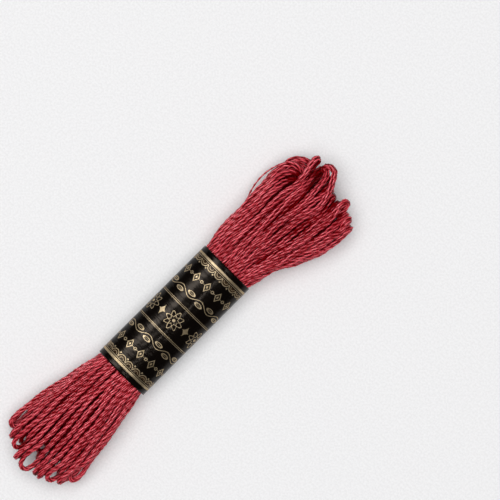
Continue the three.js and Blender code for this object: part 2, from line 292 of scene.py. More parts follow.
# Single strands that lie apart from their turns: where each passes across the skein, out from the band, and
# its height.
STRAYS = (
    (
        (-6.3, 23.4, 3.6), (-7.1, 21.8, 3.4), (-7.75, 19.6, 3.0), (-7.95, 17.6, 2.8), (-7.75, 15.6, 2.9),
        (-7.3, 13.8, 3.2), (-6.6, 12.0, 3.6),
    ),
    (
        (6.8, 6.2, 3.8), (8.0, 7.9, 3.4), (9.0, 9.2, 3.2), (9.7, 10.6, 3.2), (10.0, 12.2, 3.6),
        (9.8, 14.8, 4.2),
    ),
)


def table(columns, rows):
    """Turns rows of numbers into dictionaries keyed by the columns' names."""
    return [dict(zip(columns, row)) for row in rows]


# ---- paths of the turns
def room_at(room, out):
    """The room's middle, half width, underside and top at each distance out: straight lines between the
    rows."""
    out_rows, left, right, under, over = np.array(room).T
    left, right, under, over = (np.interp(out, out_rows, side) for side in (left, right, under, over))
    return (left + right) / 2, (right - left) / 2, under, over


def roundness(out):
    """The power of the room's superellipse: an ellipse inside the band, squarer in the fan."""
    return np.interp(out, (0.0, 4.0), (2.0, 2.6))


def dome(room, across, out, level):
    """The height of a point in the room: level runs from the underside to the top of the superellipse, less
    the thread's own radius."""
    middle, half, under, over = room_at(room, out)
    power = roundness(out)
    margin = visible_radius(out)
    beside = np.clip(np.abs((across - middle) / (half - margin)), 0, 0.97)
    rise = ((over - under) / 2 - margin) * (1 - beside**power) ** (1 / power)
    return (under + over) / 2 + (2 * level - 1) * rise


def spline(points, count):
    """A smooth curve through points, at count even steps of its length: cubic pieces whose slope at each
    point is the mean of the chords on both sides, each weighted by the other's length."""
    chord = np.diff(points, axis=0)
    length = np.linalg.norm(chord, axis=1)
    slope = chord / length[:, None]
    inner = slope[:-1] * length[1:, None] + slope[1:] * length[:-1, None]
    inner = inner / (length[:-1] + length[1:])[:, None]
    tangent = np.vstack([slope[:1], inner, slope[-1:]])
    knots = np.concatenate([[0], np.cumsum(length)])
    fine = np.linspace(0, knots[-1], 12 * count)
    piece = np.clip(np.searchsorted(knots, fine, side="right") - 1, 0, len(length) - 1)
    span = length[piece][:, None]
    way = ((fine - knots[piece])[:, None]) / span
    curve = (
        (2 * way**3 - 3 * way**2 + 1) * points[piece]
        + (way**3 - 2 * way**2 + way) * span * tangent[piece]
        + (3 * way**2 - 2 * way**3) * points[piece + 1]
        + (way**3 - way**2) * span * tangent[piece + 1]
    )
    travelled = np.concatenate([[0], np.cumsum(np.linalg.norm(np.diff(curve, axis=0), axis=1))])
    even = np.linspace(0, travelled[-1], count)
    return np.stack([np.interp(even, travelled, curve[:, axis]) for axis in range(3)], axis=1)


def loop_path(loop, room):
    """One loop: leg a from inside the band through its stations, half a turn round the tip, and leg b
    back."""

    def leg(side):
        """The leg's points up to a little behind the tip."""
        out = np.array([-5.0, 0.0, *STATIONS])
        across = np.array([0.95 * loop[side + "0"], *(loop[side + str(k)] for k in range(6))])
        keep = out < loop["reach"] - loop["spread"] / 2 - 1.5
        return np.stack([across, out, dome(room, across, out, loop["level_" + side])], axis=1)[keep]

    angle = np.radians([0, 45, 90, 135, 180])
    roll = math.radians(loop["roll"])
    side = -np.cos(angle) * loop["spread"] / 2
    out = loop["reach"] - loop["spread"] / 2 * (1 - np.sin(angle))
    level = dome(room, np.array(loop["tip"]), np.array(loop["reach"]), loop["level"])
    tip = np.stack([loop["tip"] + side * math.cos(roll), out, level - side * math.sin(roll)], axis=1)
    return spline(np.vstack([leg("a"), tip, leg("b")[::-1]]), PATH_POINTS)


def route_path(route, room):
    """A loop given by the points that it passes."""
    across, out, level = np.array(route).T
    return spline(np.stack([across, out, dome(room, across, out, level)], axis=1), PATH_POINTS)


def chance_loops(limits, room, rng):
    """Loops beneath the top ones: tips spread evenly across with a little chance, legs drawn in towards the
    band in the same proportion as the room narrows."""
    loops = []
    for row in table(UNDER_COLUMNS, limits):
        places = (np.arange(row["loops"]) + rng.uniform(0.2, 0.8, row["loops"])) / row["loops"]
        for place in places:
            tip = row["tip_low"] + place * (row["tip_high"] - row["tip_low"])
            loop = {
                "tip": tip,
                "reach": rng.uniform(row["reach_low"], row["reach_high"]),
                "level": rng.uniform(row["level_low"], row["level_high"]),
                "spread": rng.uniform(1.8, 2.6),
                "roll": rng.uniform(0, 70),
            }
            for side, shift in (("a", -0.6), ("b", 0.6)):
                middle, half, _, _ = room_at(room, np.array([0.0, *STATIONS]))
                share = np.clip((tip + shift - middle[-1]) / half[-1], -0.9, 0.9)
                across = middle + half * share + rng.normal(0, 0.2, 6)
                loop.update({side + str(k): value for k, value in enumerate(across)})
                loop["level_" + side] = np.clip(loop["level"] + rng.normal(0, 0.05), 0, 0.75)
            loops.append(loop)
    return loops


def thread_radius(out):
    """The thread's radius by its distance out from the band: packed inside, relaxed in the fan."""
    return np.interp(out, (-1.0, 4.0, 13.0), (THREAD_PACKED, 0.66, THREAD_RELAXED))


def visible_radius(out):
    """How far a thread's strands stand out from its middle line."""
    return 0.66 * thread_radius(out) + (1 + LOBES) * STRAND


def close_pairs(points, turn, step, reach):
    """Pairs of points on different turns, or far apart on one turn, that lie within reach of each other."""
    square = np.sum(points**2, axis=1)
    apart = square[:, None] + square[None, :] - 2 * points @ points.T
    strangers = (turn[:, None] != turn[None, :]) | (np.abs(step[:, None] - step[None, :]) > 8)
    first, second = np.nonzero(np.triu(strangers & (apart < reach**2), 1))
    return first, second


def settle(paths, room, held):
    """Lets the turns press each other aside: points that overlap move apart, each turn's shift is smoothed
    along it, and all stay in the rounded room. The first held turns move much less, and the rest stay sunk
    beneath."""
    turns, count, _ = paths.shape
    turn = np.repeat(np.arange(turns), count)
    step = np.tile(np.arange(count), turns)
    ease = np.where(turn < held, HELD, 1.0)
    sunk = np.where(turn < held, 0.0, SUNK)
    start = paths.reshape(-1, 3)
    points = start.copy()
    for number in range(ROUNDS):
        if number % ROUNDS_PER_LOOK == 0:
            first, second = close_pairs(points, turn, step, NEIGHBOUR)
        radius = FIRM * thread_radius(points[:, 1])
        gap = points[first] - points[second]
        distance = np.maximum(np.linalg.norm(gap, axis=1), 1e-6)
        overlap = np.maximum(radius[first] + radius[second] - distance, 0)
        push = gap * (PUSH * overlap / distance / (ease[first] + ease[second]))[:, None]
        for axis in range(3):
            points[:, axis] += np.bincount(first, push[:, axis] * ease[first], len(points))
            points[:, axis] -= np.bincount(second, push[:, axis] * ease[second], len(points))
        shift = (points - start).reshape(turns, count, 3)
        for _ in range(2):
            shift[:, 1:-1] = (shift[:, :-2] + 2 * shift[:, 1:-1] + shift[:, 2:]) / 4
        shift[:, :, 1] *= ALONG
        points = within(start + shift.reshape(-1, 3), room, sunk)
    return points.reshape(turns, count, 3)


def within(points, room, sunk):
    """Moves points that stick out of the room's superellipse back to it, first sideways and then up or
    down. Its top is lower by sunk, which fades out towards the band."""
    across, out, height = points.T
    middle, half, under, over = room_at(room, out)
    over = over - sunk * np.clip((out - 2) / 5, 0, 1)
    margin = visible_radius(out)
    power = roundness(out)
    half, rise = half - margin, (over - under) / 2 - margin
    centre = (under + over) / 2
    beside = np.clip((across - middle) / half, -0.98, 0.98)
    limit = rise * (1 - np.abs(beside) ** power) ** (1 / power)
    across = middle + half * beside
    height = np.maximum(np.clip(height, centre - limit, centre + limit), margin)
    return np.stack([across, out, height], axis=1)


# ---- strands
def frames(line):
    """Each line's tangent and two directions square to it, carried along without twist: each is the last
    one less its part along the new tangent. line holds turns, points and coordinates."""
    tangent = np.gradient(line, axis=1)
    tangent /= np.linalg.norm(tangent, axis=2, keepdims=True)
    normal = np.zeros_like(line)
    normal[:, 0] = np.cross(tangent[:, 0], (0.0, 0.0, 1.0))
    for i in range(line.shape[1]):
        previous = normal[:, max(i - 1, 0)]
        square = previous - tangent[:, i] * np.sum(previous * tangent[:, i], axis=1, keepdims=True)
        normal[:, i] = square / np.linalg.norm(square, axis=1, keepdims=True)
    return tangent, normal, np.cross(tangent, normal)


def distance_along(line):
    """The distance travelled along each line up to each point: the sum of the steps before it."""
    return np.cumsum(np.linalg.norm(np.diff(line, axis=1, prepend=line[:, :1]), axis=2), axis=1)


def wander(fine, rng):
    """Slight sideways and upright waves of each turn, none inside the band and fading in over the first few
    millimetres: sines of 8 to 15 mm."""
    turns = len(fine)
    free = np.clip((np.abs(fine[:, :, 1]) - BAND_LENGTH / 2) / 4, 0, 1)
    travelled = distance_along(fine)
    waves = np.zeros_like(fine)
    for axis, height in ((0, 0.10), (2, 0.08)):
        length = rng.uniform(8, 15, (turns, 1))
        start = rng.uniform(0, 6.3, (turns, 1))
        waves[:, :, axis] = height * free * np.sin(travelled * 2 * math.pi / length + start)
    return waves


def strand_lines(paths, rng):
    """Six strands along each turn: five round a sixth, turning slowly about the thread's middle, each with
    small waves of its own. Returns an array of turns, strands, rings and coordinates."""
    fine = np.stack([spline(path, RINGS) for path in paths])
    fine += wander(fine, rng)
    travelled = distance_along(fine)
    _, normal, side = frames(fine)
    turns = len(fine)
    radius = thread_radius(fine[:, :, 1])
    lay = rng.choice([1.0, 1.0, -1.0], turns)[:, None] * 2 * math.pi
    lay = lay / rng.uniform(*THREAD_LAY, turns)[:, None]
    phase = rng.uniform(0, 2 * math.pi, (turns, 1))
    lines = []
    for strand in range(STRANDS):
        wave = rng.uniform(0, 2 * math.pi, (4, turns, 1))
        long_wave = travelled * 2 * math.pi / rng.uniform(7, 12, (turns, 1))
        short_wave = travelled * 2 * math.pi / rng.uniform(3.6, 5.5, (turns, 1))
        angle = phase + 2 * math.pi * strand / (STRANDS - 1) + lay * travelled
        angle = angle + 0.3 * np.sin(long_wave + wave[0])
        ring = OUTER_RING + 0.06 * np.sin(long_wave + wave[1]) + 0.04 * np.sin(short_wave + wave[2])
        if strand == STRANDS - 1:
            ring = INNER_RING + 0.16 * np.sin(long_wave + wave[3])
        away = np.cos(angle)[:, :, None] * normal + np.sin(angle)[:, :, None] * side
        lines.append(fine + (ring * radius)[:, :, None] * away)
    return np.stack(lines, axis=1)


def skin_of(lines, direction, room):
    """The fan's evened surface: how far out its strands reach in each slice and sector, as a share of the
    room's superellipse, averaged over a few slices and sectors. Returns a function that gives points'
    height over it, in millimetres, lower than zero in the gaps."""

    def place(points):
        """Each point's slice, its sector, its share of the superellipse and its distance from the
        middle."""
        across, along, height = np.moveaxis(points, -1, 0)
        out = direction * along - BAND_LENGTH / 2
        middle, half, under, over = room_at(room, out)
        wide, tall = (across - middle) / half, (2 * height - under - over) / (over - under)
        power = roundness(out)
        share = (np.abs(wide) ** power + np.abs(tall) ** power) ** (1 / power)
        row = np.clip((out + 10) / SLICE, 0, SLICES - 2)
        column = (np.arctan2(tall, wide) / (2 * math.pi) + 0.5) * SECTORS
        return row, column, share, np.hypot(across - middle, height - (under + over) / 2)

    row, column, share, _ = place(lines)
    farthest = np.zeros((SLICES, SECTORS))
    np.maximum.at(farthest, (row.astype(int), column.astype(int) % SECTORS), share)
    filled = (farthest > 0).astype(float)
    for axis, reach in ((0, 3), (1, 4)):
        farthest = sum(np.roll(farthest, shift, axis) for shift in range(-reach, reach + 1))
        filled = sum(np.roll(filled, shift, axis) for shift in range(-reach, reach + 1))
    evened = farthest / np.maximum(filled, 1)

    def height_over(points):
        """The points' share less the surface's, read between slices and sectors, times the distance."""
        row, column, share, far = place(points)
        low, left = row.astype(int), column.astype(int)
        up, right = row - low, column - left
        here = sum(
            weight * evened[low + i, (left + j) % SECTORS]
            for i, j, weight in (
                (0, 0, (1 - up) * (1 - right)),
                (1, 0, up * (1 - right)),
                (0, 1, (1 - up) * right),
                (1, 1, up * right),
            )
        )
        return (share - here) * far / np.maximum(share, 0.05)

    return height_over


def strand_mesh(name, lines, material, size=1.0, height_over=None):
    """Tubes along the strands. Each ring is a circle with two lobes, for its two plies, and turns with the
    distance travelled, so the lobes wind round the strand. The map is millimetres along by turns round. The
    attribute crest rises from 0 deep in a gap to 0.5 at the fan's evened surface and 1 proud of it, and
    outward is the distance from the thread's middle, as a share of the farthest at that place."""
    turns, strands, rings, _ = lines.shape
    flat = lines.reshape(turns * strands, rings, 3)
    flat[:, :, 2] = np.maximum(flat[:, :, 2], (1 + LOBES) * STRAND)
    _, normal, side = frames(flat)
    sector = 2 * math.pi / RING_SIDES
    travelled = distance_along(flat)
    start = np.random.default_rng(SEED + turns).uniform(0, 2 * math.pi, (turns * strands, 1))
    angle = sector * np.arange(RING_SIDES) + (start + travelled * 2 * math.pi / PLY_PITCH)[:, :, None]
    radius = size * STRAND * (1 + LOBES * np.cos(2 * sector * np.arange(RING_SIDES)))[None, None, :, None]
    ring = np.cos(angle)[..., None] * normal[:, :, None] + np.sin(angle)[..., None] * side[:, :, None]
    points = flat[:, :, None] + radius * ring

    tubes = turns * strands
    index = np.arange(tubes * rings * RING_SIDES).reshape(tubes, rings, RING_SIDES)
    after = np.roll(index, -1, axis=2)
    quads = np.stack([index[:, :-1], after[:, :-1], after[:, 1:], index[:, 1:]], axis=-1).reshape(-1, 4)
    around = np.arange(RING_SIDES) / RING_SIDES
    near = np.broadcast_to(travelled[:, :-1, None], (tubes, rings - 1, RING_SIDES))
    far = np.broadcast_to(travelled[:, 1:, None], (tubes, rings - 1, RING_SIDES))
    left = np.broadcast_to(around, near.shape)
    right = left + 1 / RING_SIDES
    corners = ((near, left), (near, right), (far, right), (far, left))
    uv = np.stack([np.stack(corner, axis=-1) for corner in corners], axis=-2).reshape(-1, 2)

    ends = np.concatenate([index[:, 0, ::-1], index[:, -1]])
    end_uv = np.zeros((ends.size, 2))
    thing = mesh_object(name, points.reshape(-1, 3), [quads, ends], np.vstack([uv, end_uv]), material)
    # crest and outward are the masks for the floss's painted shade, deep in the gaps and between the strands.
    crest = np.ones(points.shape[:-1])
    if height_over:
        crest = np.clip(0.5 + 0.5 / GAP_DEPTH * height_over(points), 0, 1)
    middle = lines.mean(axis=1)[:, None, :, None]
    away = np.linalg.norm(points.reshape(turns, strands, rings, RING_SIDES, 3) - middle, axis=-1)
    outward = away / away.max(axis=(1, 3), keepdims=True)
    for label, values in (("crest", crest), ("outward", outward)):
        attribute = thing.data.attributes.new(label, "FLOAT", "POINT")
        attribute.data.foreach_set("value", values.astype(np.float32).ravel())
    return thing


def mesh_object(name, points, faces, uv, material):
    """A smooth mesh from arrays. points are millimetres from the band's middle, faces is a list of arrays,
    one for each number of corners, and uv has a row for each corner of each face."""
    mesh = bpy.data.meshes.new(name)
    corners = np.concatenate([kind.ravel() for kind in faces])
    sizes = np.concatenate([np.full(len(kind), kind.shape[1]) for kind in faces])
    mesh.vertices.add(len(points))
    mesh.vertices.foreach_set("co", (points * MM + MIDDLE).astype(np.float32).ravel())
    mesh.loops.add(len(corners))
    mesh.loops.foreach_set("vertex_index", corners.astype(np.int32))
    mesh.polygons.add(len(sizes))
    mesh.polygons.foreach_set("loop_start", (np.cumsum(sizes) - sizes).astype(np.int32))
    mesh.polygons.foreach_set("loop_total", sizes.astype(np.int32))
    mesh.polygons.foreach_set("use_smooth", np.ones(len(sizes), dtype=bool))
    mesh.update(calc_edges=True)
    mesh.uv_layers.new(name="map").data.foreach_set("uv", uv.astype(np.float32).ravel())
    mesh.materials.append(material)
    mesh.validate()
    thing = bpy.data.objects.new(name, mesh)
    bpy.context.scene.collection.objects.link(thing)
    return thing


# ---- the paper band
def band_outline(across):
    """The band's section: a flat foot, quarter ellipses up to the widest line and half an ellipse over the
    top. across is the distance round from the middle of the top, and may run past the middle of the foot.
    Returns the places across and up, and half the distance round."""
    half, foot, crown = BAND_WIDTH / 2, BAND_FOOT / 2, BAND_HEIGHT - BAND_BELLY
    upper = np.linspace(0, math.pi / 2, 200)
    lower = np.linspace(0, math.pi / 2, 120)[1:]
    x = np.concatenate([half * np.sin(upper), foot + (half - foot) * np.cos(lower), [0.0]])
    z = np.concatenate([BAND_BELLY + crown * np.cos(upper), BAND_BELLY - BAND_BELLY * np.sin(lower), [0.0]])
    travelled = np.concatenate([[0], np.cumsum(np.hypot(np.diff(x), np.diff(z)))])
    half_round = travelled[-1]
    folded = half_round - np.abs(half_round - np.mod(across, 2 * half_round))
    side = np.where(np.mod(across, 2 * half_round) <= half_round, 1.0, -1.0)
    return side * np.interp(folded, travelled, x), np.interp(folded, travelled, z), half_round


def bump_of(distance, width):
    """A rounded ridge of height 1, width millimetres across."""
    return np.exp(-((distance / width) ** 2))


def band_mesh(material):
    """A sheet of paper wrapped round the section and a little further, its last strip tucked under its
    first, and pressed in along a few lines between the threads. It is a closed skin of an outside, an
    inside and edges. Returns the piece and the sheet's length round the skein."""
    half_round = band_outline(np.zeros(1))[2]
    columns = np.linspace(-half_round - LAP, half_round + LAP, BAND_COLUMNS)
    rows = np.linspace(-BAND_LENGTH / 2, BAND_LENGTH / 2, BAND_ROWS)
    rng = np.random.default_rng(SEED + 5)
    x, z, _ = band_outline(columns)
    ahead = band_outline(columns + 0.02)
    behind = band_outline(columns - 0.02)
    run_x, run_z = ahead[0] - behind[0], ahead[1] - behind[1]
    length = np.hypot(run_x, run_z)
    out_x, out_z = -run_z / length, run_x / length

    under = np.clip((columns - (half_round - LAP - 1.4)) / 1.2, 0, 1)
    inward = (PAPER + 0.02) * under**2 * (3 - 2 * under)
    on_top = np.clip(1.15 - np.abs(columns) / 7.5, 0, 1)
    drift = 0.25 * np.sin(rows / 6.1 + 0.8)[:, None]
    dent = np.zeros((len(rows), len(columns)))
    for place, width, depth in PRESSED:
        valley = place + drift + 0.05 * np.sin(rows / rng.uniform(2.5, 5.0) + rng.uniform(0, 6))[:, None]
        dent += depth * bump_of(columns[None, :] - valley, width)
    dent *= on_top * (0.75 + 0.25 * np.sin(rows / 4.3 + 2.0)[:, None])
    curl = 0.05 * bump_of(np.abs(rows) - BAND_LENGTH / 2, 0.7)[:, None] * np.sin(columns / 1.9 + 1.0) * on_top
    inset = inward + np.maximum(dent + curl, 0) + 0.01

    def skin(depth):
        """The sheet's surface that lies depth inside the section."""
        sheet_x = x + out_x * -(inset + depth)
        sheet_z = z + out_z * -(inset + depth)
        return np.stack([sheet_x, np.broadcast_to(rows[:, None], sheet_x.shape), sheet_z], axis=-1)

    outer, inner = skin(0.0), skin(PAPER)
    points = np.concatenate([outer.reshape(-1, 3), inner.reshape(-1, 3)])
    tall, wide = inset.shape
    index = np.arange(2 * tall * wide).reshape(2, tall, wide)
    face = np.stack([index[0, :-1, :-1], index[0, 1:, :-1], index[0, 1:, 1:], index[0, :-1, 1:]], axis=-1)
    back = np.stack([index[1, :-1, :-1], index[1, :-1, 1:], index[1, 1:, 1:], index[1, 1:, :-1]], axis=-1)
    last_row = index[:, -1, ::-1]
    rim = np.concatenate([index[:, 0, :], index[:, :, -1], last_row, index[:, ::-1, 0]], axis=1)
    around = np.roll(rim, -1, axis=1)
    edge = np.stack([rim[0], around[0], around[1], rim[1]], axis=-1)
    edge = edge[rim[0] != around[0]]
    faces = np.concatenate([face.reshape(-1, 4), back.reshape(-1, 4), edge])
    flat = np.stack(np.broadcast_arrays(columns[None, :], rows[:, None]), axis=-1).reshape(-1, 2)
    flat = np.concatenate([flat, flat + (0, INSIDE_SHIFT)])
    return mesh_object("paper_band", points, [faces], flat[faces.ravel()], material), 2 * (half_round + LAP)


# ---- materials
class Term:
    """A number that varies over a surface. Arithmetic on it adds Math nodes to its material."""

    def __init__(self, tree, socket):
        self.tree = tree
        self.socket = socket

    def math(self, operation, *others, turned=False):
        """The result of a Math node on this number and others, in turned order if that is asked for."""
        node = self.tree.nodes.new("ShaderNodeMath")
        node.operation = operation
        values = [self, *others]
        if turned:
            values.reverse()
        for place, value in zip(node.inputs, values):
            if isinstance(value, Term):
                self.tree.links.new(value.socket, place)
            else:
                place.default_value = value
        return Term(self.tree, node.outputs[0])

    def __add__(self, other):
        return self.math("ADD", other)

    __radd__ = __add__

    def __sub__(self, other):
        return self.math("SUBTRACT", other)

    def __rsub__(self, other):
        return self.math("SUBTRACT", other, turned=True)

    def __mul__(self, other):
        return self.math("MULTIPLY", other)

    __rmul__ = __mul__

    def __truediv__(self, other):
        return self.math("DIVIDE", other)

    def __pow__(self, other):
        return self.math("POWER", other)

    def __abs__(self):
        return self.math("ABSOLUTE")

    def sin(self):
        """The sine of an angle in radians."""
        return self.math("SINE")

    def cos(self):
        """The cosine of an angle in radians."""
        return self.math("COSINE")

    def sign(self):
        """-1, 0 or 1, as the number is below, at or above zero."""
        return self.math("SIGN")

    def root(self):
        """The square root."""
        return self.math("SQRT")

    def angle(self, other):
        """The angle, in radians, of the point that is self up and other across."""
        return self.math("ARCTAN2", other)

    def low(self, other):
        """The lower of the two."""
        return self.math("MINIMUM", other)

    def high(self, other):
        """The higher of the two."""
        return self.math("MAXIMUM", other)

    def repeat(self, pitch):
        """The distance from the nearest of marks set pitch apart, one of them at zero."""
        return ((self / pitch + 0.5).math("FRACT") - 0.5) * pitch

    def ramp(self, start, end):
        """A smooth rise from 0 at start to 1 at end, or a fall where end is the lower."""
        node = self.tree.nodes.new("ShaderNodeMapRange")
        node.interpolation_type = "SMOOTHSTEP"
        self.tree.links.new(self.socket, node.inputs["Value"])
        node.inputs["From Min"].default_value = min(start, end)
        node.inputs["From Max"].default_value = max(start, end)
        node.inputs["To Min"].default_value = 0.0 if start < end else 1.0
        node.inputs["To Max"].default_value = 1.0 if start < end else 0.0
        return Term(self.tree, node.outputs["Result"])

    def line(self, half_width):
        """1 within half_width of zero, with a soft edge."""
        return abs(self).ramp(half_width + INK_EDGE, half_width - INK_EDGE)


class Recipe:
    """A material with one Principled shader, and short ways to add nodes to it."""

    def __init__(self, name, **constants):
        self.material = bpy.data.materials.new(name)
        self.material.use_nodes = True
        self.tree = self.material.node_tree
        self.shader = self.tree.nodes["Principled BSDF"]
        for socket, value in constants.items():
            self.shader.inputs[socket.replace("_", " ")].default_value = value

    def place(self, kind):
        """The map's or object's coordinates, as a vector socket."""
        return self.tree.nodes.new("ShaderNodeTexCoord").outputs[kind]

    def attribute(self, name):
        """A named attribute of the mesh, as a Term."""
        node = self.tree.nodes.new("ShaderNodeAttribute")
        node.attribute_name = name
        return Term(self.tree, node.outputs["Fac"])

    def parts(self, vector):
        """The three numbers of a vector, as Terms."""
        node = self.tree.nodes.new("ShaderNodeSeparateXYZ")
        self.tree.links.new(vector, node.inputs[0])
        return [Term(self.tree, output) for output in node.outputs]

    def vector(self, *terms):
        """A vector of three numbers or Terms."""
        node = self.tree.nodes.new("ShaderNodeCombineXYZ")
        for place, term in zip(node.inputs, terms):
            self.feed(term, place)
        return node.outputs[0]

    def noise(self, vector, scale, detail=2.0):
        """Smooth noise from 0 to 1."""
        node = self.tree.nodes.new("ShaderNodeTexNoise")
        self.tree.links.new(vector, node.inputs["Vector"])
        node.inputs["Scale"].default_value = scale
        node.inputs["Detail"].default_value = detail
        return Term(self.tree, node.outputs["Fac"])

    def mix(self, share, first, second):
        """The colour that lies share of the way from first to second."""
        node = self.tree.nodes.new("ShaderNodeMix")
        node.data_type = "RGBA"
        self.feed(share, node.inputs["Factor"])
        self.feed(first, node.inputs[6])
        self.feed(second, node.inputs[7])
        return node.outputs[2]

    def feed(self, value, place):
        """Links a Term or socket to place, or sets place to a colour or number."""
        if isinstance(value, Term):
            value = value.socket
        if isinstance(value, bpy.types.NodeSocket):
            self.tree.links.new(value, place)
        elif isinstance(value, tuple) and len(value) == 3:
            place.default_value = (*value, 1.0)
        else:
            place.default_value = value

    def set(self, socket, value):
        """Feeds value to one of the shader's sockets."""
        self.feed(value, self.shader.inputs[socket])

    def bump(self, height, distance, strength=1.0):
        """Relief: height 1 stands distance metres proud of height 0."""
        node = self.tree.nodes.new("ShaderNodeBump")
        node.inputs["Distance"].default_value = distance
        node.inputs["Strength"].default_value = strength
        self.feed(height, node.inputs["Height"])
        self.tree.links.new(node.outputs[0], self.shader.inputs["Normal"])


def floss_material():
    """Mercerised cotton: crimson with painted shade in the grooves between plies, between strands and deep in
    the gaps between threads, with fine fibres laid across the twist, and a silky gloss that the painted shade
    dims."""
    recipe = Recipe("crimson_floss", Roughness=0.30)
    recipe.shader.inputs["Specular IOR Level"].default_value = 1.0
    along, around, _ = recipe.parts(recipe.place("UV"))
    spot = recipe.place("Object")
    # Painted shade: the grooves between a strand's two plies are darkened in the colour; the same groove also
    # sinks the bump.
    groove = (0.5 - 0.5 * (around * (4 * math.pi)).cos()) ** 2.0
    fibres = recipe.noise(recipe.vector(along * 1.6, around * 22.0 + along * 2.0, 0.0), 1.0, 3.0)
    patch = recipe.noise(spot, 260.0, 2.0)
    # Painted shade deep in the gaps between threads, read from the crest attribute.
    deep = recipe.attribute("crest").ramp(0.55, 0.18)
    # Painted shade in the grooves between the strands of a thread, read from the outward attribute.
    between = recipe.attribute("outward").ramp(0.96, 0.62)
    # shade is painted shade from the ply grooves, the gaps between strands and the gaps between threads, with
    # a little fibre tone.
    shade = (groove * 0.68 + between * 0.60 + deep * 0.75 + fibres.ramp(0.75, 0.25) * 0.10).low(1.0)
    bright = recipe.mix(patch.ramp(0.3, 0.7), *CRIMSON)
    recipe.set("Base Color", recipe.mix(shade, bright, CRIMSON_SHADE))
    # The painted shade also dims the gloss tint towards GLOSS_SHADE.
    recipe.set("Specular Tint", recipe.mix(shade, GLOSS, GLOSS_SHADE))
    recipe.bump(fibres * 0.6 - groove * 0.4, 0.00006, 0.8)
    return recipe.material


def border_print(across, far):
    """The print at each end of the band: a rule, a hairline, and scallops with a rib inside each and a drop
    between them. Returns its gold lines and the scallops' filling."""
    rule = (far - RULE_AT).line(0.23)
    hairline = (far - HAIRLINE_AT).line(0.045)
    scallop_x = across.repeat(SCALLOP_PITCH)
    scallop_y = SCALLOPS_AT - far
    scallop = (scallop_x**2.0 + scallop_y**2.0).root()
    below = scallop_y.ramp(0.0, 0.06)
    arc = (scallop - 0.92).line(0.08) * below
    filling = scallop.ramp(0.90, 0.80) * below
    rib = (scallop - 0.48).line(0.05) * below
    drop_x = (across + SCALLOP_PITCH / 2).repeat(SCALLOP_PITCH)
    drop = ((drop_x**2.0 + (scallop_y - 0.95) ** 2.0).root()).ramp(0.22, 0.15)
    return (rule, hairline, arc, rib, drop), filling


def lozenge_print(across, far):
    """A row of lozenges with solid hearts, and between them rings joined by short dashes. A lozenge is
    where the distances across and along, each divided by its half width, add up to 1."""
    across_heart = across.repeat(LOZENGE_PITCH)
    along_heart = far - LOZENGES_AT
    lozenge = abs(across_heart) / 0.62 + abs(along_heart) / 0.98
    outline = ((lozenge - 1.0).line(0.17)).high(lozenge.ramp(0.42, 0.30))
    ring_x = (across + LOZENGE_PITCH / 2).repeat(LOZENGE_PITCH)
    ring = ((ring_x**2.0 + along_heart**2.0).root() - 0.26).line(0.08)
    dash = along_heart.line(0.05) * (abs(across_heart) - 0.98).line(0.12)
    return outline, ring, dash


def vine_print(across, far):
    """A stem that follows a sine, with a veined oval leaf in the hollow of each of its waves."""
    wave = (across * (2 * math.pi / VINE_PITCH)).sin()
    vine_y = far - VINE_AT
    stem = (vine_y - wave * 0.55).line(0.08)
    leaf_x = (across + VINE_PITCH / 4).repeat(VINE_PITCH / 2)
    leaf_y = vine_y * wave.sign() + 0.42
    leaf = ((leaf_x / 0.78) ** 2.0 + (leaf_y / 0.36) ** 2.0).root()
    return stem, ((leaf - 1.0).line(0.22)).high((leaf_y.line(0.04)) * leaf.ramp(1.0, 0.9))


def rosette_print(across, along, far):
    """The middle row: rosettes, whose eight petals are a radius that swells with the cosine of eight times
    the angle, and four-pointed stars between them, inside a pair of frame lines."""
    flower_x = across.repeat(ROSETTE_PITCH)
    flower = (flower_x**2.0 + along**2.0).root()
    petal_wave = (along.angle(flower_x) * 8.0).cos()
    petals = (flower - (petal_wave * 0.34 + 1.62)).line(0.10)
    inner = (flower - (petal_wave * -0.16 + 0.92)).line(0.08)
    eye = flower.ramp(0.36, 0.28)
    star_x = (across + ROSETTE_PITCH / 2).repeat(ROSETTE_PITCH)
    star = (abs(star_x) + 0.001) ** 0.6 + (abs(along) / 1.35 + 0.001) ** 0.6
    frame_lines = ((far - FRAME_AT).line(0.06)).high((far - FRAME_AT - FRAME_STEP).line(0.035))
    return petals, inner, eye, star.ramp(1.02, 0.92), frame_lines


